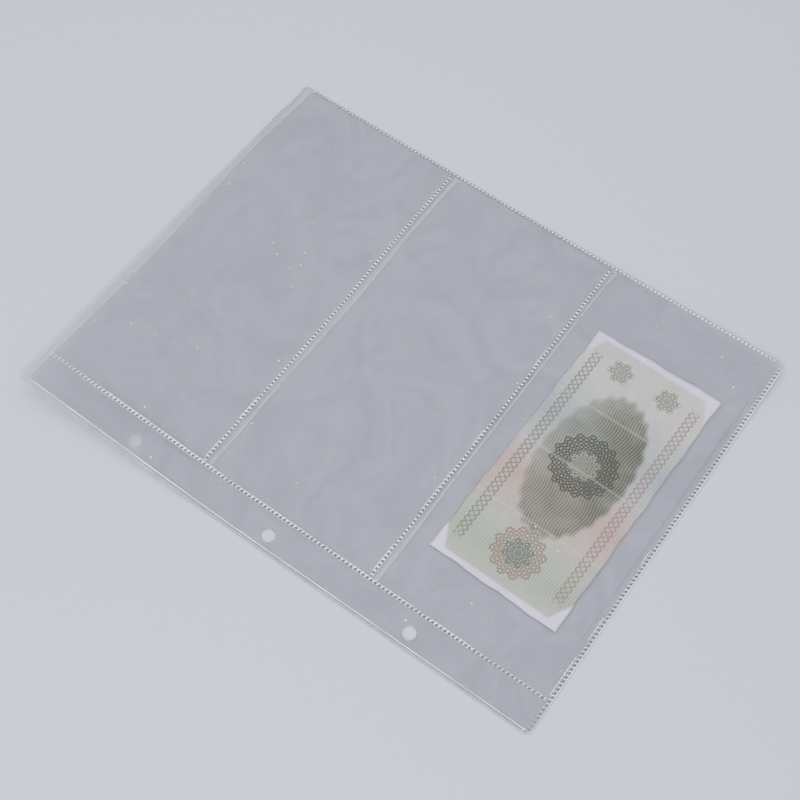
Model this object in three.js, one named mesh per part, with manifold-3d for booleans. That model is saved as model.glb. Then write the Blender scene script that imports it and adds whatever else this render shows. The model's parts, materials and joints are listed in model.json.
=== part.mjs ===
// Banknote album page: a back film and a front film welded into rows of open-topped pockets,
// a margin punched for a ring binder, and one folded paper note kept in the lowest pocket.
// Millimetres. X runs from the binding edge to the outer edge, Y up to the page's top edge,
// Z out of its face. The origin is the middle of the page's underside.

import * as THREE from 'three';
import { mergeVertices } from 'three/addons/utils/BufferGeometryUtils.js';
import Module from 'manifold-3d';

// Page and film
const pageWidth = 205;
const rowPitch = 88.3; // from one row's weld to the next
const rowCount = 3;
const filmThickness = 0.15;
const cornerRadius = 3;
const topSetback = 4; // the front film stops this far short of the back film's top edge

// Welds: a knurled bar presses both films together and leaves a row of ribs
const weldWidth = 2.2;
const ribPitch = 2.05;
const weldBase = 0.04; // melted film that stands above the sheet, in the valleys
const ribRise = 0.06; // each rib stands this much above its valleys

// Smooth weld along the binding edge, with a bead squeezed out along each side
const edgeWeldWidth = 2;
const innerBeadWidth = 0.6;
const innerBeadRise = 0.08;
const outerBeadWidth = 0.4;
const outerBeadRise = 0.05;

// Binding margin
const marginWidth = 16.5; // binding edge to the middle of the margin's weld
const holeDiameter = 6;
const holeInset = 7; // binding edge to the holes' middle
const holePitch = 72;
const middleHoleHeight = 134.5; // above the page's bottom edge
const holesEachSide = 1; // holes above and below the middle one

// Pockets
const mouthWidth = 2.1; // gap in the front film where a note goes in
const mouthLip = 0.3; // front film left between a row's weld and the mouth below it
const mouthEndLip = 0.3; // front film left between a mouth's end and the weld beside it
const emptyLift = 0.1; // how far an empty pocket's front film stands off the back film
const pocketRamp = 5; // width over which the front film climbs from its welds

// Paper note
const noteLength = 130;
const noteWidth = 63;
const noteThickness = 0.1;
const noteSideGap = 25.1; // from the margin's weld
const noteBottomGap = 12.1; // from the weld that it stands above
const noteTurn = -0.65; // degrees
const noteFolds = 4; // parts that it has been folded into along its length
const foldRise = 0.15;
const slideClearance = 0.1; // between the note and what it passes on its way out
const noteHeadroom = 0.4; // between the note and the front film over it

// Facets of the round stretches
const holeFacets = 32;
const cornerFacets = 6;

// Spare material beyond a cut, so that no two faces of a cut lie in one plane
const cutAllowance = 1;

// Places that follow from the sizes, from the page's lower binding corner
const pageHeight = weldWidth / 2 + rowCount * rowPitch;
const frontTop = pageHeight - topSetback;
const pocketLeft = marginWidth + weldWidth / 2;
const pocketRight = pageWidth - weldWidth;
const frontFace = 2 * filmThickness;
const weldTop = frontFace + weldBase + ribRise;
const noteUnderside = Math.max(weldTop, frontFace + emptyLift) + slideClearance;
const filledLift = noteUnderside + noteThickness + foldRise + noteHeadroom - filmThickness;
const cutterReach = frontFace + filledLift + cutAllowance;

function rowWeldMiddle(row) {
  return weldWidth / 2 + row * rowPitch;
}

// Each pocket from the weld below it to its mouth; row 0 is the lowest and holds the note
function pocket(row) {
  const floor = rowWeldMiddle(row) + weldWidth / 2;
  const isTopRow = row === rowCount - 1;
  const lipEdge = rowWeldMiddle(row + 1) - weldWidth / 2 - mouthLip;
  return {
    floor,
    mouth: isTopRow ? frontTop : lipEdge - mouthWidth,
    lipEdge: isTopRow ? null : lipEdge,
    lift: row === 0 ? filledLift : emptyLift,
  };
}

const rows = Array.from({ length: rowCount }, (_, row) => row);
const pockets = rows.map(pocket);

// Joining and cutting solids
const wasm = await Module();
wasm.setup();

function toSolid(geometry) {
  const bare = geometry.clone();
  bare.deleteAttribute('normal');
  bare.deleteAttribute('uv');
  const merged = mergeVertices(bare);
  const mesh = new wasm.Mesh({
    numProp: 3,
    vertProperties: new Float32Array(merged.getAttribute('position').array),
    triVerts: new Uint32Array(merged.getIndex().array),
  });
  return new wasm.Manifold(mesh);
}

function toGeometry(solid) {
  const mesh = solid.getMesh();
  const geometry = new THREE.BufferGeometry();
  geometry.setAttribute('position', new THREE.BufferAttribute(mesh.vertProperties, 3));
  geometry.setIndex(new THREE.BufferAttribute(mesh.triVerts, 1));
  geometry.computeVertexNormals();
  return geometry;
}

// The page's rounded outline as a tall prism that every film and edge weld is trimmed by
function pageOutline() {
  const r = cornerRadius;
  const shape = new THREE.Shape();
  shape.absarc(pageWidth - r, r, r, -Math.PI / 2, 0, false);
  shape.absarc(pageWidth - r, pageHeight - r, r, 0, Math.PI / 2, false);
  shape.absarc(r, pageHeight - r, r, Math.PI / 2, Math.PI, false);
  shape.absarc(r, r, r, Math.PI, 1.5 * Math.PI, false);
  const prism = new THREE.ExtrudeGeometry(shape, {
    depth: 2 * cutterReach,
    bevelEnabled: false,
    curveSegments: cornerFacets,
  });
  prism.translate(0, 0, -cutterReach);
  return toSolid(prism);
}

function slab(x0, x1, y0, y1, z0, z1) {
  const box = new THREE.BoxGeometry(x1 - x0, y1 - y0, z1 - z0);
  box.translate((x0 + x1) / 2, (y0 + y1) / 2, (z0 + z1) / 2);
  return toSolid(box);
}

// Punches the binder holes through a film
function punched(film) {
  let result = film;
  for (let k = -holesEachSide; k <= holesEachSide; k += 1) {
    const punch = new THREE.CylinderGeometry(
      holeDiameter / 2, holeDiameter / 2, 2 * cutterReach, holeFacets);
    punch.rotateX(Math.PI / 2);
    punch.translate(holeInset, middleHoleHeight + k * holePitch, 0);
    result = result.subtract(toSolid(punch));
  }
  return result;
}

// How far the front film stands off its welded level at a place on the page
function frontLift(x, y) {
  for (const p of pockets) {
    const ceiling = p.lipEdge ?? Infinity;
    if (y > p.floor && y < ceiling) {
      const climb = Math.min(x - pocketLeft, pocketRight - x, y - p.floor) / pocketRamp;
      const share = THREE.MathUtils.clamp(climb, 0, 1);
      return share * p.lift;
    }
  }
  return 0;
}

// A film that follows frontLift, on a grid whose lines lie along every crease
function liftedFilm() {
  const xs = [-cutAllowance, pocketLeft, pocketLeft + pocketRamp, pocketRight - pocketRamp,
    pocketRight, pageWidth + cutAllowance];
  const ys = [-cutAllowance];
  for (const p of pockets) {
    ys.push(p.floor, p.floor + pocketRamp, p.mouth);
    if (p.lipEdge !== null) {
      ys.push(p.lipEdge);
    }
  }
  const positions = [];
  const index = [];
  const columns = xs.length;
  const layer = columns * ys.length;
  for (const level of [filmThickness, frontFace]) {
    for (const y of ys) {
      for (const x of xs) {
        positions.push(x, y, level + frontLift(x, y));
      }
    }
  }
  const quad = (a, b, c, d) => index.push(a, b, c, a, c, d);
  for (let j = 0; j + 1 < ys.length; j += 1) {
    for (let i = 0; i + 1 < columns; i += 1) {
      const a = j * columns + i;
      const [b, c, d] = [a + 1, a + 1 + columns, a + columns];
      const rise = (m, n) => Math.abs(positions[3 * m + 2] - positions[3 * n + 2]);
      const corners = rise(a, c) >= rise(b, d) ? [a, b, c, d] : [b, c, d, a];
      quad(...corners.map((v) => v + layer));
      quad(...corners.slice().reverse());
    }
  }
  const lastRow = (ys.length - 1) * columns;
  for (let i = 0; i + 1 < columns; i += 1) {
    quad(i, i + 1, i + 1 + layer, i + layer);
    quad(lastRow + i + 1, lastRow + i, lastRow + i + layer, lastRow + i + 1 + layer);
  }
  for (let j = 0; j + 1 < ys.length; j += 1) {
    const a = j * columns;
    const b = a + columns - 1;
    quad(a + columns, a, a + layer, a + columns + layer);
    quad(b, b + columns, b + columns + layer, b + layer);
  }
  const geometry = new THREE.BufferGeometry();
  geometry.setAttribute('position', new THREE.Float32BufferAttribute(positions, 3));
  geometry.setIndex(index);
  return toSolid(geometry);
}

function backSheet() {
  const film = slab(
    -cutAllowance, pageWidth + cutAllowance, -cutAllowance, pageHeight + cutAllowance,
    0, filmThickness);
  return toGeometry(punched(film.intersect(outline)));
}

function frontSheet() {
  let film = liftedFilm().intersect(outline);
  for (const p of pockets) {
    if (p.lipEdge !== null) {
      film = film.subtract(slab(
        pocketLeft + mouthEndLip, pocketRight - mouthEndLip, p.mouth, p.lipEdge,
        -cutterReach, cutterReach));
    }
  }
  return toGeometry(punched(film));
}

// A ribbed weld lying along X from 0, centred on Y, with its underside at z = 0
function ribbedWeld(length) {
  const ribs = Math.max(1, Math.floor(length / ribPitch) - 1);
  const start = (length - ribs * ribPitch) / 2;
  const profile = new THREE.Shape();
  profile.moveTo(0, 0);
  profile.lineTo(length, 0);
  profile.lineTo(length, weldBase);
  for (let k = ribs; k > 0; k -= 1) {
    profile.lineTo(start + k * ribPitch, weldBase);
    profile.lineTo(start + (k - 0.5) * ribPitch, weldBase + ribRise);
  }
  profile.lineTo(start, weldBase);
  profile.lineTo(0, weldBase);
  const weld = new THREE.ExtrudeGeometry(profile, { depth: weldWidth, bevelEnabled: false });
  weld.rotateX(Math.PI / 2);
  weld.translate(0, weldWidth / 2, 0);
  return weld;
}

// Welds that reach a rounded corner of the page are trimmed by its outline
function trimmedWeld(length, x, y, z, upright) {
  const weld = ribbedWeld(length);
  if (upright) {
    weld.rotateZ(Math.PI / 2);
  }
  weld.translate(x, y, z);
  return toGeometry(toSolid(weld).intersect(outline));
}

function bindingEdgeWeld() {
  const w = edgeWeldWidth;
  const profile = new THREE.Shape();
  profile.moveTo(0, 0);
  profile.lineTo(w, 0);
  profile.lineTo(w, weldBase);
  profile.lineTo(w - innerBeadWidth / 2, weldBase + innerBeadRise);
  profile.lineTo(w - innerBeadWidth, weldBase);
  profile.lineTo(outerBeadWidth, weldBase);
  profile.lineTo(outerBeadWidth / 2, weldBase + outerBeadRise);
  profile.lineTo(0, weldBase);
  const length = frontTop - weldWidth;
  const bead = new THREE.ExtrudeGeometry(profile, { depth: length, bevelEnabled: false });
  bead.rotateX(Math.PI / 2);
  bead.translate(0, frontTop, frontFace);
  return toGeometry(toSolid(bead).intersect(outline));
}

// The note lying centred on the origin, with a ridge at every other fold
function noteGeometry() {
  const part = noteLength / noteFolds;
  const rise = (k) => (k % 2 === 1 ? foldRise : 0);
  const profile = new THREE.Shape();
  profile.moveTo(0, 0);
  for (let k = 1; k <= noteFolds; k += 1) {
    profile.lineTo(k * part, rise(k));
  }
  for (let k = noteFolds; k >= 0; k -= 1) {
    profile.lineTo(k * part, rise(k) + noteThickness);
  }
  const note = new THREE.ExtrudeGeometry(profile, { depth: noteWidth, bevelEnabled: false });
  note.rotateX(Math.PI / 2);
  note.translate(-noteLength / 2, noteWidth / 2, 0);
  return note;
}

const clearFilm = { color: 0x8d8b99, roughness: 0.12, metalness: 0, transparent: true, opacity: 0.35 };
const weldedFilm = { color: 0xd9d9e2, roughness: 0.3, metalness: 0, transparent: true, opacity: 0.6 };
const notePaper = { color: 0xc6c7bd, roughness: 0.85, metalness: 0 };

function piece(name, geometry, finish) {
  const mesh = new THREE.Mesh(geometry, new THREE.MeshStandardMaterial(finish));
  mesh.name = name;
  return mesh;
}

const outline = pageOutline();
const page = new THREE.Group();
page.position.set(-pageWidth / 2, -pageHeight / 2, 0);

page.add(piece('back_sheet', backSheet(), clearFilm));
page.add(piece('front_sheet', frontSheet(), clearFilm));

// Weld between the margin and the pockets
const bindingWeld = piece('binding_weld', ribbedWeld(frontTop - weldWidth), weldedFilm);
bindingWeld.rotation.z = Math.PI / 2;
bindingWeld.position.set(marginWidth, weldWidth, frontFace);
page.add(bindingWeld);

// Weld under each row but the lowest, named from the top of the page
const rowWeldNames = ['upper_row_weld', 'lower_row_weld'];
for (const row of rows.slice(1)) {
  const name = rowWeldNames[rowCount - 1 - row] ?? `row_weld_${row}`;
  const weld = piece(name, ribbedWeld(pocketRight - pocketLeft), weldedFilm);
  weld.position.set(pocketLeft, rowWeldMiddle(row), frontFace);
  page.add(weld);
}

// Welds along the page's edges
page.add(piece('bottom_weld',
  trimmedWeld(pocketRight, 0, weldWidth / 2, frontFace, false), weldedFilm));
page.add(piece('outer_weld',
  trimmedWeld(frontTop, pageWidth - weldWidth / 2, 0, frontFace, true), weldedFilm));
page.add(piece('top_edge_weld',
  trimmedWeld(pageWidth, 0, pageHeight - weldWidth / 2, filmThickness, false), weldedFilm));
page.add(piece('binding_edge_weld', bindingEdgeWeld(), weldedFilm));

// The note slides up its pocket and out through the mouth
const note = piece('paper_note', noteGeometry(), notePaper);
note.position.set(
  pocketLeft + noteSideGap + noteLength / 2,
  pockets[0].floor + noteBottomGap + noteWidth / 2,
  noteUnderside);
note.rotation.z = THREE.MathUtils.degToRad(noteTurn);
page.add(note);

export default page;
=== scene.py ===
"""A clear film album page with a paper note in its lowest pocket, on a pale studio floor.

Lengths are in millimetres on the page: x runs from the binding edge to the outer edge, y up from
the bottom edge, z out of the page's face. to_frame turns them into the frame's metres.
"""
import json
import math

import bpy
import numpy as np
from mathutils import Matrix, Vector
from mathutils.geometry import delaunay_2d_cdt


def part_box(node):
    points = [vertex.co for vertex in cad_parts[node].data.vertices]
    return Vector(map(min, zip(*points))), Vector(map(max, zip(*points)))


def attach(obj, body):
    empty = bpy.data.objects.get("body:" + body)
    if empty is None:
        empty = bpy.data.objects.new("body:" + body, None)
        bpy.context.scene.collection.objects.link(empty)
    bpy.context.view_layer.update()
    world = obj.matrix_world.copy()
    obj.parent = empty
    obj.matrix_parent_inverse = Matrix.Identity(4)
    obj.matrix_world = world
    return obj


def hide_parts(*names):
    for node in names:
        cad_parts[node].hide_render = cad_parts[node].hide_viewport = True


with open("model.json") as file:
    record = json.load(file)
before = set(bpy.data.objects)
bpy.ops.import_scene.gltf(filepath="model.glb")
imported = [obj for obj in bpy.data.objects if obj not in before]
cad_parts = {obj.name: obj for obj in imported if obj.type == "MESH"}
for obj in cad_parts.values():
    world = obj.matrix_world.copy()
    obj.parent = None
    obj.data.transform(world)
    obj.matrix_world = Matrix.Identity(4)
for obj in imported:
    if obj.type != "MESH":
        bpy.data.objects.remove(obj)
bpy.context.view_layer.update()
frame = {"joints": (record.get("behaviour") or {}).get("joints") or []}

# What the frame says of the page
MM = 0.001
sheet_low, sheet_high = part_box("back_sheet")


def extent(node):
    """A node's lowest and highest corner in page millimetres."""
    low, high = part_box(node)
    origin = Vector((sheet_low.x, sheet_low.y, 0))
    return (low - origin) / MM, (high - origin) / MM


film = (sheet_high.z - sheet_low.z) / MM
page_width = (sheet_high.x - sheet_low.x) / MM
page_height = (sheet_high.y - sheet_low.y) / MM
front_top = extent("front_sheet")[1].y
margin_weld = extent("binding_weld")
outer_weld = extent("outer_weld")
bottom_weld = extent("bottom_weld")
upper_weld = extent("upper_row_weld")
lower_weld = extent("lower_row_weld")
top_weld = extent("top_edge_weld")
edge_weld = extent("binding_edge_weld")
note_box = extent("paper_note")
pocket_left = margin_weld[1].x
pocket_right = outer_weld[0].x
weld_width = pocket_left - margin_weld[0].x

# Sizes that the photograph shows and the frame's boxes don't give
corner_radius = 3.0
rib_pitch = 2.05
hole_radius = 3.0
hole_inset = 7.0
hole_pitch = 72.0
middle_hole = 134.5
mouth_end_lip = 0.3


def to_frame(points):
    """Page millimetres to the frame's metres, for rows of x, y, z."""
    scaled = np.asarray(points, float) * MM
    return scaled + np.array([sheet_low.x, sheet_low.y, 0.0])


def ease(share):
    """0 to 1 with a level start and a level end."""
    share = np.clip(share, 0.0, 1.0)
    return share * share * (3 - 2 * share)


def wander(place, stops):
    """A line that eases from one (place, value) stop to the next."""
    place = np.asarray(place, float)
    value = np.full(place.shape, float(stops[0][1]))
    for (start, low), (end, high) in zip(stops, stops[1:]):
        share = ease((place - start) / (end - start))
        value = np.where(place >= start, low + (high - low) * share, value)
    return value


def waves(place, terms):
    """The sum of sine waves, each with its height, its wavelength over 2 pi and its start."""
    return sum(height * np.sin(place / length + start) for height, length, start in terms)


def bent_wave(along, across, length, bend, bend_length, start=0.0):
    """A wave along one way whose crests swing along the other. Both lengths are over 2 pi."""
    return np.sin(along / length + bend * np.sin(across / bend_length) + start)


# The camera, as the photograph was taken: angles in degrees, the point it looks at on the page
camera_azimuth = -56.57
camera_elevation = 61.91
camera_distance = 686.9
camera_roll = 2.61
camera_target = (91.46, 127.86, 0.0)
camera_lens = 70.97
camera_sensor = 36.0


def make_camera():
    data = bpy.data.cameras.new("camera")
    data.lens = camera_lens
    data.sensor_width = camera_sensor
    camera = bpy.data.objects.new("camera", data)
    bpy.context.scene.collection.objects.link(camera)
    azimuth = math.radians(camera_azimuth)
    elevation = math.radians(camera_elevation)
    out = Vector((
        math.cos(elevation) * math.sin(azimuth),
        -math.cos(elevation) * math.cos(azimuth),
        math.sin(elevation)))
    target = Vector(to_frame([camera_target])[0])
    turn = (-out).to_track_quat("-Z", "Y").to_matrix().to_4x4()
    roll = Matrix.Rotation(math.radians(camera_roll), 4, "Z")
    camera.matrix_world = Matrix.Translation(target + out * camera_distance * MM) @ turn @ roll
    bpy.context.scene.camera = camera


make_camera()
bpy.context.scene.view_settings.view_transform = "Standard"
# Light goes down through two films and their weld and up again, which is twelve clear faces
bpy.context.scene.cycles.transparent_max_bounces = 24


# How the page lies
upper_curl = 6.6          # the upper binding corner stands this high
upper_curl_start = 154.0
upper_curl_power = 1.15
outer_curl = 3.0          # the lower outer corner stands this high
outer_curl_start = 158.0
outer_curl_power = 1.6
outer_curl_reach = 133.0
table_gap = 0.02
ripple_height = 0.24
calm_rim = 14.0           # ripples die away over this distance around the note's way out
note_travel = max(j["range_m"][1] for j in frame["joints"]) / MM

calm_low = (note_box[0].x, note_box[0].y)
calm_high = (note_box[1].x, note_box[1].y + note_travel)


def curl(x, y):
    """The height that the page's two lifted corners give a place on it."""
    up = np.clip((y - upper_curl_start) / (page_height - upper_curl_start), 0, None)
    out = np.clip((x - outer_curl_start) / (page_width - outer_curl_start), 0, None)
    down = np.clip(1 - y / outer_curl_reach, 0, 1)
    binding_side = np.clip(1 - x / page_width, 0, 1)
    return (upper_curl * binding_side * up ** upper_curl_power
            + outer_curl * out ** outer_curl_power * down)


def restless(x, y):
    """1 where the film may ripple, 0 where the note lies and slides."""
    aside = np.maximum(calm_low[0] - x, x - calm_high[0])
    beyond = np.maximum(calm_low[1] - y, y - calm_high[1])
    return ease(np.maximum(aside, beyond) / calm_rim)


def ripple(x, y):
    """The slack of soft film that has hung in a binder, never below the table."""
    rightwards = bent_wave(x, y, length=19.0, bend=1.1, bend_length=34.0, start=0.6)
    upwards = bent_wave(y, x, length=23.0, bend=1.4, bend_length=41.0, start=2.1)
    return ripple_height * (2 + rightwards + upwards) / 4 * restless(x, y)


def back_underside(x, y):
    """The height of the back film's lower face."""
    return table_gap + curl(x, y) + ripple(x, y)


# The pockets, lowest first: floor, mouth and how far the front film stands off the back film
empty_gap = 0.07
slack_gap = 0.28          # where an empty pocket's front film bellies
empty_ramp = 8.0
filled_gap = 1.02
filled_ramp_left = 20.0
filled_ramp_right = 26.0
filled_ramp_floor = 4.6
melt_gap = 0.01

lower_mouth = [(18, 86.4), (35, 86.2), (75, 86.9), (120, 87.0), (160, 87.1), (190, 86.9), (203, 86.4)]
upper_mouth = [
    (18, 174.2), (40, 173.9), (66, 174.4), (120, 173.5), (168, 174.7), (188, 174.7), (203, 174.1)]
top_edge = [(0, 262.0), (20, 262.0), (52, 261.1), (100, 261.2), (160, 262.6), (205, 261.3)]
back_top_dip = [(0, 0), (186, 0), (192, -0.7), (199, -0.7), (203, 0)]

pockets = [
    {"floor": bottom_weld[1].y, "mouth": lower_mouth, "lip": lower_weld[0].y},
    {"floor": lower_weld[1].y, "mouth": upper_mouth, "lip": upper_weld[0].y},
    {"floor": upper_weld[1].y, "mouth": top_edge, "lip": None},
]


def climb(distance, ramp):
    return ease(distance / ramp)


def film_gap(x, y):
    """The distance between the two films."""
    gap = np.full(np.shape(x), melt_gap)
    for row, pocket in enumerate(pockets):
        ceiling = pocket["lip"] or page_height
        inside = (y > pocket["floor"]) & (y < ceiling) & (x > pocket_left) & (x < pocket_right)
        if row == 0:
            rise = filled_gap * (climb(x - pocket_left, filled_ramp_left)
                                 * climb(pocket_right - x, filled_ramp_right)
                                 * climb(y - pocket["floor"], filled_ramp_floor))
        else:
            belly = 0.5 + 0.5 * bent_wave(x, y, length=27.0, bend=0.9, bend_length=19.0, start=row)
            amount = empty_gap + slack_gap * belly * restless(x, y)
            sides = np.minimum(np.minimum(x - pocket_left, pocket_right - x), y - pocket["floor"])
            rise = amount * climb(sides, empty_ramp)
        gap = np.where(inside, melt_gap + rise, gap)
    return gap


def front_underside(x, y):
    """The height of the front film's lower face."""
    return back_underside(x, y) + film + film_gap(x, y)


# Meshes
def make_object(name, vertices, faces, smooth=True):
    mesh = bpy.data.meshes.new(name)
    mesh.from_pydata(vertices.tolist(), [], faces)
    mesh.validate()
    mesh.polygons.foreach_set("use_smooth", [smooth] * len(mesh.polygons))
    mesh.update()
    piece = bpy.data.objects.new(name, mesh)
    bpy.context.scene.collection.objects.link(piece)
    return piece


def paint(piece, layer, values):
    """Keeps one number for each vertex, for the material to read."""
    attribute = piece.data.attributes.new(layer, "FLOAT", "POINT")
    attribute.data.foreach_set("value", np.asarray(values, np.float32))


def grid_piece(name, x, y, lower, upper, layers=None):
    """A closed mesh between two heights over a grid of places, with a layer of numbers or more."""
    first, second = (x[1, 0] - x[0, 0], y[1, 0] - y[0, 0]), (x[0, 1] - x[0, 0], y[0, 1] - y[0, 0])
    if first[0] * second[1] - first[1] * second[0] < 0:
        x, y, lower, upper = (values[:, ::-1] for values in (x, y, lower, upper))
        layers = {layer: values[:, ::-1] for layer, values in (layers or {}).items()}
    count = x.size
    index = np.arange(count).reshape(x.shape)
    corners = [index[:-1, :-1], index[1:, :-1], index[1:, 1:], index[:-1, 1:]]
    quads = np.stack(corners, axis=-1).reshape(-1, 4)
    ring = np.concatenate([index[:, 0], index[-1, 1:], index[-2::-1, -1], index[0, -2:0:-1]])
    following = np.roll(ring, -1)
    walls = np.column_stack([ring, following, following + count, ring + count])
    faces = (quads + count).tolist() + quads[:, ::-1].tolist() + walls.tolist()
    vertices = np.vstack([
        np.column_stack([x.ravel(), y.ravel(), level.ravel()]) for level in (lower, upper)])
    piece = make_object(name, to_frame(vertices), faces)
    for layer, values in (layers or {}).items():
        paint(piece, layer, np.concatenate([values.ravel(), values.ravel()]))
    return piece


def arc(centre, radius, start, end, steps):
    turns = np.radians(np.linspace(start, end, steps + 1))
    return np.column_stack([centre[0] + radius * np.cos(turns), centre[1] + radius * np.sin(turns)])


outline_step = 1.0
rim_width = 0.52          # a cut edge catches the light over this width
rim_rise = 0.05
# how bright the painted highlight on a hole's cut edge is
hole_highlight = 0.4
hole_steps = 48
corner_steps = 8
scallop = 0.3             # the outer edge bulges this far at each rib


def even(start, end, step):
    """Evenly spaced places from start to end, about a step apart."""
    return np.linspace(start, end, max(2, int(round(abs(end - start) / step)) + 1))


def scalloped(y):
    """How far the outer edge draws in at a height: it bulges at each rib of its weld."""
    turns = (y - outer_weld[0].y) / rib_pitch + 0.5
    return scallop * (0.5 + 0.5 * np.cos(2 * np.pi * turns)) - scallop


def outline(top, inset=0.0):
    """The film's outline, anticlockwise, drawn in by inset. top(x) is its upper edge."""
    r = corner_radius - inset
    left, right, low = inset, page_width - inset, inset
    bottom = even(left + r, right - r, outline_step)
    side = even(low + r, float(top(right)) - inset - r, rib_pitch / 6)
    upper = even(right - r, left + r, outline_step)
    climb_left = even(float(top(left)) - inset - r, low + r, outline_step)
    return np.vstack([
        np.column_stack([bottom, np.full(bottom.shape, low)])[:-1],
        arc((right - r, low + r), r, -90, 0, corner_steps)[:-1],
        np.column_stack([right + scalloped(side), side])[:-1],
        arc((right - r, float(top(right)) - inset - r), r, 0, 90, corner_steps)[:-1],
        np.column_stack([upper, top(upper) - inset])[:-1],
        arc((left + r, float(top(left)) - inset - r), r, 90, 180, corner_steps)[:-1],
        np.column_stack([np.full(climb_left.shape, left), climb_left])[:-1],
        arc((left + r, low + r), r, 180, 270, corner_steps)[:-1],
    ])


def mouth_slot(mouth, lip, grow=0.0):
    """The slot that a note goes in by, as a loop. grow widens it."""
    left = pocket_left + mouth_end_lip - grow
    right = pocket_right - mouth_end_lip + grow
    along = even(left, right, outline_step)
    return np.vstack([
        np.column_stack([along, wander(along, mouth) - grow]),
        np.column_stack([along[::-1], np.full(along.shape, lip + grow)]),
    ])


def hole_ring(k, radius):
    return arc((hole_inset, middle_hole + k * hole_pitch), radius, 0, 360, hole_steps)[:-1]


def crossings(points, loop):
    """True for the points that lie inside a closed loop."""
    x, y = points[:, 0], points[:, 1]
    inside = np.zeros(len(points), bool)
    for (x0, y0), (x1, y1) in zip(loop, np.roll(loop, -1, axis=0)):
        spans = (y0 > y) != (y1 > y)
        if y0 != y1:
            inside ^= spans & (x < x0 + (y - y0) * (x1 - x0) / (y1 - y0))
    return inside


grid_step = 2.2
same_point = 1e-6         # closer points are one
hairline = 1e-3           # smaller triangles only join rib crests that lie on one line


def film_piece(name, edge, edge_inner, edge_highlight, cuts, underside):
    """A film of even thickness with its cuts, as one closed mesh over the height underside.

    Each of the cuts is a loop, a slightly larger one around it, and how bright the painted highlight on
    its edge is.
    """
    loops = [edge, edge_inner] + [loop for cut in cuts for loop in cut[:2]]

    # Points all over the film, clear of its rim and its cuts
    xs = np.arange(grid_step, page_width, grid_step)
    ys = np.arange(grid_step, page_height, grid_step)
    grid = np.array(np.meshgrid(xs, ys)).reshape(2, -1).T
    keep = crossings(grid, outline_guard(edge_inner))
    for _, around, _ in cuts:
        keep &= ~crossings(grid, around)
    points = np.vstack(loops + [grid[keep]])

    # Triangles between them, with every loop kept as edges, inside the film only
    edges = []
    start = 0
    for loop in loops:
        count = len(loop)
        edges += [(start + i, start + (i + 1) % count) for i in range(count)]
        start += count
    made = delaunay_2d_cdt([Vector(p) for p in points], edges, [], 0, same_point)
    flat = np.array([(v.x, v.y) for v in made[0]])
    triangles = np.array([t for t in made[2] if len(t) == 3])
    first, second, third = (flat[triangles[:, corner]] for corner in range(3))
    turn = np.cross(second - first, third - first)
    triangles = np.where(turn[:, None] < 0, triangles[:, ::-1], triangles)
    middle = flat[triangles].mean(axis=1)
    held = (np.abs(turn) > hairline) & crossings(middle, edge)
    for cut, _, _ in cuts:
        held &= ~crossings(middle, cut)
    triangles = triangles[held]
    used, index = np.unique(triangles, return_inverse=True)
    flat = flat[used]
    triangles = index.reshape(-1, 3)

    # Both faces, and a wall along every edge that only one triangle has
    # Cut edges carry a painted highlight, kept in the white attribute, and stand a little proud
    whiteness = rim_highlight(flat, [(edge, edge_highlight)] + [(cut, white) for cut, _, white in cuts])
    low = underside(flat[:, 0], flat[:, 1])
    high = low + film + rim_rise * (whiteness > 0)
    count = len(flat)
    vertices = np.vstack([np.column_stack([flat, low]), np.column_stack([flat, high])])
    directed = {(int(t[i]), int(t[(i + 1) % 3])) for t in triangles for i in range(3)}
    walls = [(p, q, q + count, p + count) for p, q in directed if (q, p) not in directed]
    faces = triangles[:, ::-1].tolist() + (triangles + count).tolist() + sorted(walls)
    piece = make_object(name, to_frame(vertices), faces)
    paint(piece, "white", np.concatenate([whiteness, whiteness]))
    return piece


def outline_guard(loop, margin=0.8):
    """The loop drawn in a little further, so that no grid point crowds the rim."""
    centre = loop.mean(axis=0)
    half = np.abs(loop - centre).max(axis=0)
    return centre + (loop - centre) * (half - margin) / half


def rim_highlight(points, loops):
    """How bright a painted highlight each point on a cut edge carries. A loop's highlight is a number,
    or a function of y.
    """
    known = {}
    for loop, white in loops:
        values = white(loop[:, 1]) if callable(white) else np.full(len(loop), white)
        known.update({(round(x, 4), round(y, 4)): v for (x, y), v in zip(loop.tolist(), values)})
    return np.array([known.get((round(x, 4), round(y, 4)), 0.0) for x, y in points.tolist()])


def hole_cuts():
    return [(hole_ring(k, hole_radius), hole_ring(k, hole_radius + rim_width), hole_highlight)
            for k in (-1, 0, 1)]


def back_top(x):
    return page_height + wander(x, back_top_dip)


def front_edge(x):
    return wander(x, top_edge)


# How bright the painted highlight on each kind of cut edge is
free_edge_highlight = 0.85    # a free cut edge carries a bright painted highlight
free_top_reach = 2.0
bottom_edge_highlight = 0.8
welded_edge_highlight = 0.45
faint_edge_highlight = 0.3
free_edge_reach = 0.6     # a mouth's edge counts as free from this far below the row's weld
slot_gap = 0.15           # and its slot ends this far below it


def side_highlight(y):
    """The welded sides are soft and grey.

    The front film's free top edge carries a bright painted highlight, and so do the bottom edge
    and its corners; on the welded sides the painted highlight is soft and grey.
    """
    bright = (y > front_top - free_top_reach) | (y < corner_radius)
    return np.where(bright, free_edge_highlight, welded_edge_highlight)


# The back film's edge carries a painted highlight: bright along the bottom, soft and grey on the welded
# sides
def back_side_highlight(y):
    return np.where(y < corner_radius, bottom_edge_highlight, welded_edge_highlight)


def mouth_highlight(lip):
    """A mouth's free edge carries a bright painted highlight, and the edge under the row's weld a faint
    one.
    """
    return lambda y: np.where(y < lip - free_edge_reach, free_edge_highlight, faint_edge_highlight)


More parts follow.
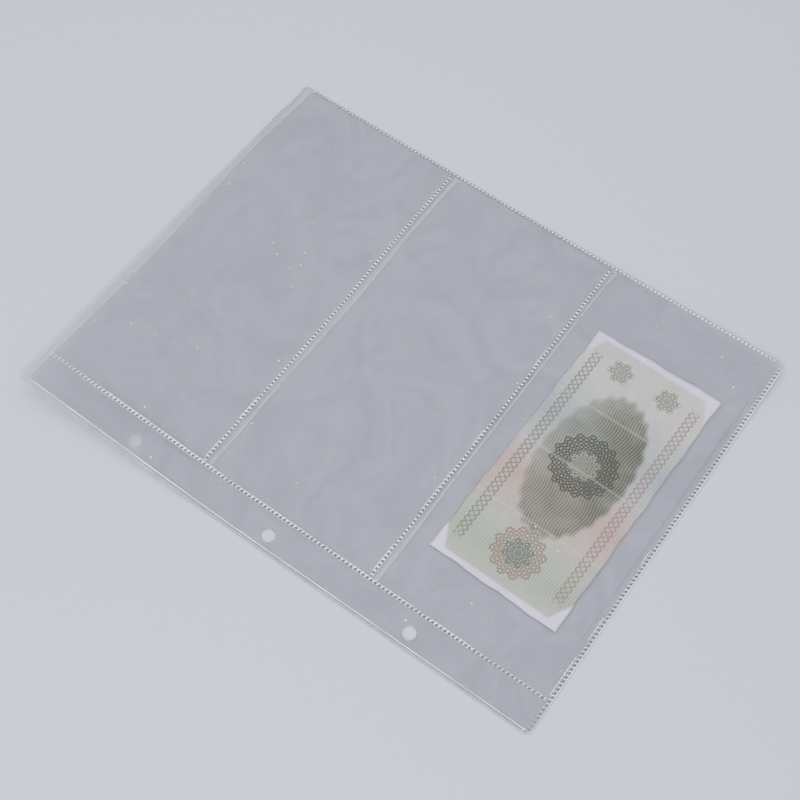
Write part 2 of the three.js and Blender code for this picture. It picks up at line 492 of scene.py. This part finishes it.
back_film = film_piece(
    "back_film", outline(back_top), outline(back_top, rim_width), back_side_highlight, hole_cuts(),
    back_underside)
mouth_cuts = [
    (mouth_slot(p["mouth"], p["lip"] - slot_gap),
     mouth_slot(p["mouth"], p["lip"] - slot_gap, rim_width),
     mouth_highlight(p["lip"]))
    for p in pockets if p["lip"]]
front_film = film_piece(
    "front_film", outline(front_edge), outline(front_edge, rim_width), side_highlight,
    hole_cuts() + mouth_cuts, front_underside)


# Welds
rib_samples = 12
strip_samples = 15
rail_place = 0.76         # a share of the weld's half width
rail_half = 0.24
rail_calm = 0.55          # how bright the painted highlight on a bulging rail stays between two ribs
pit_size = (0.48, 0.52)   # a pit's half length along the weld, and across it
hook_place = 0.42         # a hooked rung, a painted highlight, turns this far above its middle
hook_size = (0.42, 0.24)
dash_shift = 0.18         # the dashes beside a pocket lie this share of a rib before the rungs
bulge_spread = 0.08       # a rail beside a bulge is this much broader
weld_unevenness = 0.25
bead_highlight_unevenness = 0.38
swell_ramp = 3.0
melt_rise = 0.11
melt_floor = 0.02
sunk = 0.015              # the melt starts this far inside the film it is part of


def inside_page(x, y, top):
    """Bends what reaches a corner of the page's square round with the rounded corner."""
    r = corner_radius
    dx = x - np.clip(x, r, page_width - r)
    dy = y - np.clip(y, r, top - r)
    straight = np.maximum(np.abs(dx), np.abs(dy))
    scale = straight / np.maximum(np.hypot(dx, dy), 1e-9)
    shift = np.where(straight > 0, scale - 1, 0.0)
    return x + dx * shift, y + dy * shift


def blob(along, across, size):
    """A soft-edged mark, 1 in its middle, with its half length and half width in size."""
    return np.exp(-np.abs(along / size[0]) ** 3 - np.abs(across / size[1]) ** 3)


def swell(place, stretches):
    """1 in the stretches where a pocket's film bulges against its weld and carries a painted highlight,
    0 elsewhere.
    """
    share = np.zeros(np.shape(place))
    for start, end in stretches:
        inside = ease((place - start) / swell_ramp) * ease((end - place) / swell_ramp)
        share = np.maximum(share, inside)
    return share


def noise(place, seed):
    """A slow unevenness from 0 to 1 along a weld, which takes its course from the seed."""
    return 0.5 + waves(place, ((0.25, 7.3, seed), (0.25, 3.1, 2.3 * seed)))


def weld_piece(name, upright, start, end, middle, drift, base, stretches=(), slant=0.0,
               rails=(0.45, 0.75), rungs=0.95, rung_size=(0.36, 0.68), hook_highlight=0.0, width=None,
               firm=((0, 1.0),), top=None, bow=0.0, seed=0.0):
    """A knurled weld: rungs and two rails of whitened melt around pits that are tinted darker, as
    painted shade.

    The rails are the lower or left one, then the one beside the pocket, which bows out in the
    stretches and carries a painted highlight there. A hook, the rung's end turned aside, is a
    painted highlight too. firm says how hard the bar pressed from place to place.
    """
    half = (width or weld_width) / 2
    ribs = max(1, int(round((end - start) / rib_pitch)))
    s = np.linspace(start, end, ribs * rib_samples + 1)
    columns = strip_samples + int(round(bow / (2 * half) * strip_samples))
    u = np.linspace(-half, half + bow, columns + 1)
    along, across = np.meshgrid(s, u, indexing="ij")
    phase = (along - start) / rib_pitch + 0.5
    bulge = swell(along, stretches)
    rail_line = rail_place * half
    low_rail = rails[0] * np.exp(-((across + rail_line) / rail_half) ** 2)
    dash = 0.5 + 0.5 * np.cos(2 * np.pi * (phase + dash_shift))
    bowed = across - rail_line - bow * bulge
    # The rail beside the pocket carries a painted highlight where the film bulges
    high_rail = np.exp(-(bowed / (rail_half + bulge_spread * bulge)) ** 2) * np.maximum(
        rails[1] * dash, bulge * (rail_calm + (1 - rail_calm) * dash))
    leaning = phase + slant * across / rib_pitch
    beside = (leaning - np.round(leaning)) * rib_pitch
    rung = rungs * blob(beside, across, rung_size)
    # The hook: a painted highlight where the rung's end turns aside
    turned = hook_highlight * blob(beside + hook_size[0], across - hook_place, hook_size)
    pressed = wander(along, firm)
    uneven = (1 - weld_unevenness + weld_unevenness * noise(along, seed)) * pressed
    melt = np.clip(np.maximum.reduce([low_rail, high_rail, rung, turned]) * uneven, 0, 1)
    # How deep a pit is, which the melt material tints darker as painted shade
    pit = np.clip(blob(rib_pitch / 2 - np.abs(beside), across, pit_size) * pressed - 2 * melt, 0, 1)
    off = middle + wander(along, drift) if drift else np.full(along.shape, float(middle))
    x, y = (off + across, along) if upright else (along, off + across)
    x, y = inside_page(x, y, top or page_height)
    height = base(x, y)
    return grid_piece(name, x, y, height - sunk, height + melt_floor + melt_rise * melt,
                      {"white": melt, "pit": pit})


def on_front(x, y):
    """The height of the front film's upper face, where most welds lie."""
    return front_underside(x, y) + film


def on_back(x, y):
    """The height of the back film's upper face, beyond the front film's top edge."""
    return back_underside(x, y) + film


margin_middle = (margin_weld[0].x + margin_weld[1].x) / 2
upper_middle = (upper_weld[0].y + upper_weld[1].y) / 2
lower_middle = (lower_weld[0].y + lower_weld[1].y) / 2
bottom_middle = (bottom_weld[0].y + bottom_weld[1].y) / 2

frame_weld_width = 1.5    # along the outer and top edges the weld is trimmed to this

# Each weld's list of stretches marks where its rail carries a painted highlight
welds = {
    "binding_weld": weld_piece(
        "margin_seam", True, margin_weld[0].y, margin_weld[1].y, margin_middle,
        [(0, -0.2), (80, -0.25), (150, 0.1), (220, 0.6), (262, 0.8)], on_front,
        [(3, 9), (38, 60), (66, 110), (118, 160), (164, 232)], rails=(0.4, 0.85), rungs=0.95, hook_highlight=0.8,
        firm=[(0, 0.7), (28, 0.75), (45, 1.0), (222, 1.0), (250, 0.65)], seed=1.0),
    "upper_row_weld": weld_piece(
        "upper_row_seam", False, pocket_left, pocket_right, upper_middle,
        [(18, -0.3), (100, -0.7), (175, 0.4), (203, 0.3)], on_front,
        [(18, 31), (41, 57)], rails=(0.5, 0.25), rungs=1.0, rung_size=(0.4, 0.68), hook_highlight=0.7, seed=2.0),
    "lower_row_weld": weld_piece(
        "lower_row_seam", False, pocket_left, pocket_right, lower_middle,
        [(18, 0.1), (110, -0.2), (203, 0.1)], on_front,
        [(18, 36), (53, 79), (90, 103), (138, 153)], rails=(0.5, 0.3), rungs=1.0,
        rung_size=(0.46, 0.62), hook_highlight=0.4, seed=3.0),
    "bottom_weld": weld_piece(
        "bottom_seam", False, bottom_weld[0].x, bottom_weld[1].x, bottom_middle,
        None, on_front, [(17, 40), (45, 61), (86, 97)], slant=0.25,
        rails=(0.95, 0.6), rungs=0.85, rung_size=(0.36, 0.62), hook_highlight=0.6,
        firm=[(0, 0.6), (14, 0.75), (20, 1.0), (199, 1.0), (203, 0.6)], top=front_top, bow=0.5,
        seed=4.0),
    "outer_weld": weld_piece(
        "outer_seam", True, outer_weld[0].y, outer_weld[1].y, page_width - frame_weld_width / 2,
        None, on_front, rails=(0.0, 0.0), width=frame_weld_width, rung_size=(0.68, 0.4),
        firm=[(0, 0.0), (3, 0.1), (6, 0.7), (20, 1.0), (190, 1.0), (262, 0.75)], top=front_top,
        seed=5.0),
    "top_edge_weld": weld_piece(
        "top_edge_seam", False, top_weld[0].x, top_weld[1].x, page_height - frame_weld_width / 2,
        back_top_dip, on_back, rails=(0.1, 0.3), width=frame_weld_width,
        firm=[(0, 0.12), (160, 0.15), (176, 0.6), (205, 0.6)], seed=6.0),
}


# Across the binding edge's bead: how far in from the edge, and how high the melt stands, which also
# sets how bright its white and its painted highlight are
bead_profile = [
    (0.0, 0.2), (0.15, 0.55), (0.35, 0.45), (0.5, 0.28), (0.7, 0.2), (1.1, 0.2), (1.4, 0.22),
    (1.6, 0.3), (1.7, 0.6), (1.8, 0.9), (1.95, 1.0), (2.1, 0.9), (2.2, 0.5), (2.3, 0.0)]
# And up along it: how wide the bead is for its profile, and how hard it was pressed, which also
# sets how bright its painted highlight is
bead_widths = [(0, 0.72), (120, 0.8), (262, 1.08)]
bead_firm = [(0, 0.9), (90, 1.1), (170, 0.95), (225, 0.7), (262, 0.6)]


def edge_bead():
    """The smooth weld along the binding edge: a thin bead at the edge, and inside it a bright one that
    carries a painted highlight.
    """
    steps = even(edge_weld[0].y, edge_weld[1].y, outline_step)
    across, rise = np.array(bead_profile).T
    y, u = np.meshgrid(steps, across, indexing="ij")
    x = u * wander(steps, bead_widths)[:, None]
    x, y = inside_page(x, y, front_top)
    # Stretches of painted highlight along the bead
    uneven = 1 - bead_highlight_unevenness + bead_highlight_unevenness * noise(y, 0.4)
    melt = np.clip(rise * wander(y, bead_firm) * uneven, 0, 1)
    height = on_front(x, y)
    return grid_piece("binding_bead", x, y, height - sunk, height + melt_floor + melt_rise * melt,
                      {"white": melt})


welds["binding_edge_weld"] = edge_bead()


# The note
note_length = 130.0
note_width = 63.0
note_turn = math.radians(-0.65)
note_middle = ((note_box[0].x + note_box[1].x) / 2, (note_box[0].y + note_box[1].y) / 2)
note_thickness = 0.1
note_step = 1.0
fold_height = 0.256
fold_places = (-31.0, 1.0, 30.0)
fold_rises = (1.0, -0.35, 0.8)
fold_reach = 7.0
half_fold_rise = 0.25     # the note was also folded once lengthwise
half_fold_reach = 5.0
slack_rise = 0.35
highest_rise = 1.3        # where folds meet they rise no higher than this
cockle_height = 0.06
note_gap = 0.02
underside_height = note_box[0].z + note_gap


def note_height(a, b):
    """The note's own relief: ridges at its folds, and the lift of paper that has been handled."""
    ridge = slack_rise + half_fold_rise * np.exp(-np.abs(b) / half_fold_reach)
    for place, rise in zip(fold_places, fold_rises):
        ridge = ridge + rise * np.exp(-np.abs(a - place) / fold_reach)
    cockle = bent_wave(a, b, length=9.0, bend=1.0, bend_length=7.0) + 1
    return fold_height * np.clip(ridge, 0, highest_rise) + cockle_height * cockle


worn_rim = 6              # a power, so that only the paper's rim is worn out of line
long_edge_waves = ((0.22, 5.3, 1.0), (0.16, 2.3, 0.0))
short_edge_waves = ((0.22, 4.1, 0.0), (0.12, 1.7, 0.0))
narrower = 0.1            # each long edge draws in by this towards the note's right end
narrower_from = 20.0
narrower_over = 45.0
right_askew = 1.5         # how far each end was cut askew
left_askew = 0.9
askew_back = 0.35         # and drawn back, so that the note keeps its length


def paper_note():
    """A note whose edges are worn wavy, and whose ends were cut a little askew."""
    a = even(-note_length / 2, note_length / 2, note_step)
    b = even(-note_width / 2, note_width / 2, note_step)
    along, across = np.meshgrid(a, b, indexing="ij")
    height = note_height(along, across)
    end = np.abs(along) / (note_length / 2)
    side = np.abs(across) / (note_width / 2)
    narrowing = narrower * ease((along - narrower_from) / narrower_over)
    askew = np.where(along > 0, right_askew, left_askew) * (0.5 - across / note_width) - askew_back
    long_edge = waves(along, long_edge_waves) - narrowing
    short_edge = waves(across, short_edge_waves) + askew
    worn_y = across + np.sign(across) * long_edge * side ** worn_rim
    worn_x = along + np.sign(along) * short_edge * end ** worn_rim
    x = note_middle[0] + worn_x * math.cos(note_turn) - worn_y * math.sin(note_turn)
    y = note_middle[1] + worn_x * math.sin(note_turn) + worn_y * math.cos(note_turn)
    lower = underside_height + height + curl(x, y)
    return grid_piece("folded_note", x, y, lower, lower + note_thickness)


note = paper_note()


# Materials
def linear(code):
    """An sRGB hex colour as linear red, green, blue and full alpha."""
    parts = [int(code[i:i + 2], 16) / 255 for i in (1, 3, 5)]
    return (*(p / 12.92 if p <= 0.04045 else ((p + 0.055) / 1.055) ** 2.4 for p in parts), 1.0)


def add(tree, kind, settings=None, links=None):
    """Adds a node. A setting is one of its properties or, by name or number, one of its inputs."""
    node = tree.nodes.new(kind)
    for key, value in (settings or {}).items():
        if isinstance(key, int) or key in node.inputs:
            node.inputs[key].default_value = value
        else:
            setattr(node, key, value)
    for key, source in (links or {}).items():
        tree.links.new(getattr(source, "outputs", [source])[0], node.inputs[key])
    return node


def new_material(name):
    """A material with nothing in it yet."""
    material = bpy.data.materials.new(name)
    material.use_nodes = True
    material.node_tree.nodes.clear()
    return material, material.node_tree


def clear_pvc(name, tint, pit_shade_tint, cling_sheen_strength):
    """Plasticised PVC film, calendered: clear with a cool cast where it is seen through, with a
    glossy, slightly rippled skin, a faint painted sheen in milky patches where the two films
    cling, and specks of dust.

    It is white wherever it was melted, which the attribute "white" says; that attribute also
    carries painted highlights along cut edges, on bulging weld rails and hooks and on the binding
    bead. "pit" says where a weld's bar squeezed it thin, and there it is tinted darker as painted
    shade. The dust is 0.1 mm fine and would not show, so a speck is drawn up to 1 mm wide.
    """
    material, tree = new_material(name)
    place = add(tree, "ShaderNodeTexCoord").outputs["Object"]
    cloud = add(tree, "ShaderNodeTexNoise",
                {"Scale": 1 / (42 * MM), "Detail": 3.0, "Roughness": 0.5, "Distortion": 2.4},
                {"Vector": place})
    # Milky patches where the two films cling: a painted sheen
    cling_sheen = add(tree, "ShaderNodeMapRange",
                 {"From Min": 0.38, "From Max": 0.66, "To Min": 0.0, "To Max": cling_sheen_strength},
                 {"Value": cloud})
    dust = add(tree, "ShaderNodeTexVoronoi", {"Scale": 1 / (9 * MM), "Randomness": 1.0},
               {"Vector": place})
    specks = add(tree, "ShaderNodeMapRange",
                 {"From Min": 0.02, "From Max": 0.06, "To Min": 1.0, "To Max": 0.0},
                 {"Value": dust.outputs["Distance"]})
    white = add(tree, "ShaderNodeAttribute", {"attribute_name": "white"}).outputs["Fac"]
    # The white attribute holds melt and painted highlights; dust specks are added to it
    whitened = add(tree, "ShaderNodeMath", {"operation": "MAXIMUM"}, {0: white, 1: specks})
    dense = add(tree, "ShaderNodeMapRange",
                {"From Min": 0.15, "From Max": 0.85, "To Min": 0.0, "To Max": 0.9}, {"Value": whitened})
    wave = add(tree, "ShaderNodeTexNoise", {"Scale": 1 / (24 * MM), "Detail": 2.0}, {"Vector": place})
    skin = add(tree, "ShaderNodeBump", {"Strength": 0.12, "Distance": 0.6 * MM}, {"Height": wave})
    pit = add(tree, "ShaderNodeAttribute", {"attribute_name": "pit"}).outputs["Fac"]
    # The pits are seen through a darker tint: painted shade
    cast = add(tree, "ShaderNodeMix", {"data_type": "RGBA", 6: linear(tint), 7: linear(pit_shade_tint)},
               {0: pit}).outputs[2]
    see = add(tree, "ShaderNodeBsdfTransparent", None, {"Color": cast})
    milk = add(tree, "ShaderNodeBsdfPrincipled",
               {"Base Color": linear("#b9b7c4"), "Roughness": 0.35, "IOR": 1.53}, {"Normal": skin})
    melt = add(tree, "ShaderNodeBsdfPrincipled",
               {"Base Color": linear("#fbfbfd"), "Roughness": 0.22, "IOR": 1.53})
    gloss = add(tree, "ShaderNodeBsdfGlossy", {"Roughness": 0.07}, {"Normal": skin})
    facing = add(tree, "ShaderNodeLayerWeight", {"Blend": 0.5}, {"Normal": skin}).outputs["Facing"]
    steep = add(tree, "ShaderNodeMath", {"operation": "POWER", 1: 5.0}, {0: facing})
    mirror = add(tree, "ShaderNodeMapRange", {"To Min": 0.04, "To Max": 0.6}, {"Value": steep})
    body = add(tree, "ShaderNodeMixShader", None, {0: cling_sheen, 1: see, 2: milk})
    marked = add(tree, "ShaderNodeMixShader", None, {0: dense, 1: body, 2: melt})
    shown = add(tree, "ShaderNodeMixShader", None, {0: mirror, 1: marked, 2: gloss})
    add(tree, "ShaderNodeOutputMaterial", None, {"Surface": shown})
    return material


# The note's print, drawn in its own millimetres: x along it, y across it, from its middle
thread_half = 0.55        # half the width of a braided border's line
lathe_line = 0.42         # a rosette's lines take up this share of their pitch
print_end = 62.5          # the printed ground ends here
print_corner = 1640.0     # and where along times across reaches this, which cuts its corners


def ink(tree, under, colour, amount):
    """Prints a colour over what is there, as strongly as amount says."""
    return add(tree, "ShaderNodeMix", {"data_type": "RGBA", 7: linear(colour)},
               {0: amount, 6: under}).outputs[2]


def within(tree, distance, edge, blur):
    """1 where a distance is short of an edge, fading to 0 over the blur before it."""
    return add(tree, "ShaderNodeMapRange",
               {"From Min": edge - blur, "From Max": edge, "To Min": 1.0, "To Max": 0.0},
               {"Value": distance})


def product(tree, *factors):
    """Masks and plain numbers multiplied together."""
    result = factors[0]
    for factor in factors[1:]:
        key = {1: factor} if isinstance(factor, float) else {}
        link = {} if isinstance(factor, float) else {1: factor}
        result = add(tree, "ShaderNodeMath", {"operation": "MULTIPLY", **key}, {0: result, **link})
    return result


def engraved(tree, height, pitch, share):
    """Lines where a height passes each multiple of pitch, as wide as their share of it."""
    near = add(tree, "ShaderNodeMath", {"operation": "PINGPONG", 1: pitch / 2}, {0: height})
    return add(tree, "ShaderNodeMapRange",
               {"From Min": share * pitch * 0.3, "From Max": share * pitch * 0.7,
                "To Min": 1.0, "To Max": 0.0},
               {"Value": near})


def from_centre(tree, own, centre, stretch=(1.0, 1.0)):
    """Distance from and angle about a point, on the note's plane, in an ellipse's measure."""
    away = add(tree, "ShaderNodeVectorMath", {"operation": "SUBTRACT", 1: (*centre, 0.0)}, {0: own})
    flat = add(tree, "ShaderNodeVectorMath",
               {"operation": "MULTIPLY", 1: (1 / stretch[0], 1 / stretch[1], 0.0)}, {0: away})
    parts = add(tree, "ShaderNodeSeparateXYZ", None, {0: flat})
    reach = add(tree, "ShaderNodeVectorMath", {"operation": "LENGTH"}, {0: flat}).outputs["Value"]
    angle = add(tree, "ShaderNodeMath", {"operation": "ARCTAN2"},
                {0: parts.outputs[1], 1: parts.outputs[0]})
    return reach, angle


def petalled(tree, reach, angle, petals, depth):
    """A distance that swings by depth, petals times around a circle, or as a wave along a line."""
    turned = add(tree, "ShaderNodeMath", {"operation": "MULTIPLY", 1: float(petals)}, {0: angle})
    swing = add(tree, "ShaderNodeMath", {"operation": "SINE"}, {0: turned})
    return add(tree, "ShaderNodeMath", {"operation": "MULTIPLY_ADD", 1: depth}, {0: swing, 2: reach})


def rosette(tree, own, centre, radius, petals, depth, pitch):
    """A lathe rosette: wavy rings inside a petalled outline, in lines of two opposed waves."""
    reach, angle = from_centre(tree, own, centre)
    rings = petalled(tree, reach, angle, petals, depth)
    crossed = petalled(tree, reach, angle, petals, -depth)
    lines = [engraved(tree, wavy, pitch, lathe_line) for wavy in (rings, crossed)]
    both = add(tree, "ShaderNodeMath", {"operation": "MAXIMUM"}, {0: lines[0], 1: lines[1]})
    return product(tree, both, within(tree, rings, radius, 0.5))


def braid(tree, along, across, middle, swing, wavelength, strands):
    """A band of sine lines laid over each other, each a share of a wavelength further on."""
    result = None
    for k in range(strands):
        phase = add(tree, "ShaderNodeMath",
                    {"operation": "MULTIPLY_ADD", 1: math.tau / wavelength, 2: math.tau * k / strands},
                    {0: along})
        wave = add(tree, "ShaderNodeMath", {"operation": "SINE"}, {0: phase})
        line = add(tree, "ShaderNodeMath", {"operation": "MULTIPLY_ADD", 1: swing, 2: middle}, {0: wave})
        away = add(tree, "ShaderNodeMath", {"operation": "SUBTRACT"}, {0: across, 1: line})
        width = add(tree, "ShaderNodeMath", {"operation": "ABSOLUTE"}, {0: away})
        strand = within(tree, width, thread_half, 0.4)
        result = strand if result is None else add(
            tree, "ShaderNodeMath", {"operation": "MAXIMUM"}, {0: result, 1: strand})
    return result


def banknote_paper(name):
    """Cotton rag paper, calendered and worn soft by handling: matt, faintly fibrous, printed in
    pale tints and one olive engraving, whitened and cracked along its folds.

    The real lines are 0.2 mm wide and would not show, so they are drawn two to four times as
    coarse.
    """
    material, tree = new_material(name)
    centre = to_frame([(note_middle[0], note_middle[1], 0)])[0]
    own = add(tree, "ShaderNodeMapping",
              {"vector_type": "TEXTURE", "Location": tuple(centre), "Rotation": (0, 0, note_turn),
               "Scale": (MM, MM, MM)},
              {"Vector": add(tree, "ShaderNodeTexCoord").outputs["Object"]})
    parts = add(tree, "ShaderNodeSeparateXYZ", None, {0: own})
    along, across = parts.outputs[0], parts.outputs[1]
    fibre = add(tree, "ShaderNodeTexNoise", {"Scale": 1 / 1.4, "Detail": 6.0, "Roughness": 0.7},
                {"Vector": own})
    blotch = add(tree, "ShaderNodeTexNoise", {"Scale": 1 / 17.0, "Detail": 3.0}, {"Vector": own})
    from_side = add(tree, "ShaderNodeMath", {"operation": "ABSOLUTE"}, {0: across})

    # Bare paper at the ends and corners, and a printed ground in green, rose and lavender
    end_way = add(tree, "ShaderNodeMath", {"operation": "ABSOLUTE"}, {0: along})
    corner_way = add(tree, "ShaderNodeMath", {"operation": "MULTIPLY"}, {0: end_way, 1: from_side})
    printed = product(
        tree, within(tree, corner_way, print_corner, 70.0), within(tree, end_way, print_end, 1.0))
    colour = add(tree, "ShaderNodeMix",
                 {"data_type": "RGBA", 6: linear("#f1eef5"), 7: linear("#e8e5ec")},
                 {0: blotch}).outputs[2]
    colour = ink(tree, colour, "#dcdad2", product(tree, printed, 0.85))
    screen = engraved(tree, petalled(tree, across, along, 1 / 1.9, 0.5), 1.3, 0.5)
    weight = add(tree, "ShaderNodeMapRange", {"To Min": 0.4, "To Max": 0.9}, {"Value": screen})
    tints = (("#b9c4ae", -50.0, 28.0), ("#d6b9ae", -16.0, 24.0), ("#b8c4c4", 18.0, 26.0))
    for tint, place, reach in tints:
        away = add(tree, "ShaderNodeMath", {"operation": "SUBTRACT", 1: place}, {0: along})
        near = add(tree, "ShaderNodeMath", {"operation": "ABSOLUTE"}, {0: away})
        patch = within(tree, near, reach, reach)
        colour = ink(tree, colour, tint, product(tree, patch, weight, printed))

    # Braided borders along both long sides
    for side, thread in ((1, "#7c8a6c"), (-1, "#ab8c7e")):
        braided = braid(tree, along, across, side * 25.0, 2.0, 8.4, 3)
        colour = ink(tree, colour, thread, product(
            tree, braided, within(tree, end_way, 56.0, 3.0), 0.75))

    # The olive vignette: an oval of engraved waves, darker towards its foot
    vignette_middle = (4.0, 0.0)
    vignette_size = (40.0, 21.5)
    reach, angle = from_centre(tree, own, vignette_middle, vignette_size)
    oval = within(tree, petalled(tree, reach, angle, 24, 0.02), 1.0, 0.09)
    wavy = engraved(tree, petalled(tree, across, along, 1 / 3.3, 0.75), 1.25, 0.5)
    shade = add(tree, "ShaderNodeMapRange",
                {"From Min": -19.0, "From Max": 19.0, "To Min": 1.0, "To Max": 0.4}, {"Value": across})
    mottle = add(tree, "ShaderNodeMapRange",
                 {"From Min": 0.35, "From Max": 0.6, "To Min": 0.6, "To Max": 1.0}, {"Value": blotch})
    colour = ink(tree, colour, "#92947a", product(tree, oval, shade, mottle))
    colour = ink(tree, colour, "#505339", product(tree, oval, wavy, shade, mottle, 0.88))

    # Lathe rosettes: a large one on the vignette, and small ones towards the ends
    rosettes = (
        (vignette_middle, 15.0, 16, "#3a3d28", 0.9), (vignette_middle, 7.0, 8, "#c9c8b4", 0.75),
        ((-46.0, 0.0), 12.0, 12, "#a87e70", 0.7), ((-46.0, 0.0), 6.5, 8, "#67877f", 0.75),
        ((52.0, 12.0), 5.5, 6, "#868a6c", 0.75), ((52.0, -12.0), 5.5, 6, "#868a6c", 0.75))
    for spot, radius, petals, thread, strength in rosettes:
        colour = ink(tree, colour, thread, product(
            tree, rosette(tree, own, spot, radius, petals, 0.9, 1.8), strength))

    # Wear: pale cracked ink at the folds, and a faint bumpy relief of fibres and blotches
    fold = None
    for place in fold_places:
        away = add(tree, "ShaderNodeMath", {"operation": "SUBTRACT", 1: place}, {0: along})
        near = add(tree, "ShaderNodeMath", {"operation": "ABSOLUTE"}, {0: away})
        fold = near if fold is None else add(
            tree, "ShaderNodeMath", {"operation": "MINIMUM"}, {0: fold, 1: near})
    cracked = product(tree, within(tree, fold, 0.9, 0.7), fibre)
    colour = ink(tree, colour, "#e6e4e0", product(tree, cracked, 0.6))
    relief = add(tree, "ShaderNodeMath", {"operation": "MULTIPLY_ADD", 1: 0.25}, {0: fibre, 2: blotch})
    grain = add(tree, "ShaderNodeBump", {"Strength": 0.5, "Distance": 0.5 * MM}, {"Height": relief})
    paper = add(tree, "ShaderNodeBsdfPrincipled", {"Roughness": 0.85, "Specular IOR Level": 0.25},
                {"Base Color": colour, "Normal": grain})
    add(tree, "ShaderNodeOutputMaterial", None, {"Surface": paper})
    return material


def studio_floor(name):
    """Matt backdrop paper: pale and even, so that the clear film reads against it."""
    material, tree = new_material(name)
    paper = add(tree, "ShaderNodeBsdfPrincipled", {"Base Color": linear("#d4d6da"), "Roughness": 0.9})
    add(tree, "ShaderNodeOutputMaterial", None, {"Surface": paper})
    return material


# Both materials draw the white attribute's painted highlights and a painted sheen where the films cling
film_material = clear_pvc("clear_pvc_film", "#fafafb", "#fafafb", 0.025)
# The weld's pits get a darker tint: painted shade
melt_material = clear_pvc("melted_pvc_weld", "#ffffff", "#e4e3ea", 0.02)
note_material = banknote_paper("worn_cotton_note")

# Bodies, slots and what each piece stands for
for piece, node in ((back_film, "back_sheet"), (front_film, "front_sheet")):
    piece.data.materials.append(film_material)
    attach(piece, "page")
    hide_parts(node)
for node, piece in welds.items():
    piece.data.materials.append(melt_material)
    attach(piece, "page")
    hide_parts(node)
note.data.materials.append(note_material)
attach(note, "note")
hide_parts("paper_note")


# Studio
def make_floor():
    half = 2.5
    corners = [(-half, -half, 0), (half, -half, 0), (half, half, 0), (-half, half, 0)]
    floor = make_object("floor", np.array(corners, float), [(0, 1, 2, 3)], smooth=False)
    floor.data.materials.append(studio_floor("pale_floor"))


def make_light(name, place, aim, size, power):
    """A rectangular soft light at a place in metres, turned to face aim."""
    data = bpy.data.lights.new(name, "AREA")
    data.shape = "RECTANGLE"
    data.size, data.size_y = size
    data.energy = power
    light = bpy.data.objects.new(name, data)
    bpy.context.scene.collection.objects.link(light)
    place, aim = Vector(place), Vector(aim)
    turn = (aim - place).to_track_quat("-Z", "Y").to_matrix().to_4x4()
    light.matrix_world = Matrix.Translation(place) @ turn


def make_world():
    world = bpy.data.worlds.new("studio")
    world.use_nodes = True
    tree = world.node_tree
    tree.nodes.clear()
    glow = add(tree, "ShaderNodeBackground", {"Color": linear("#e9ebf0"), "Strength": 0.52})
    add(tree, "ShaderNodeOutputWorld", None, {"Surface": glow})
    bpy.context.scene.world = world


make_floor()
make_light("key", (-0.9, -0.3, 1.3), (0, 0, 0), (0.9, 0.9), 9.0)
make_light("overhead_softbox", (0.52, 0.34, 1.17), (0, 0, 0), (1.6, 1.4), 5.1)
make_world()
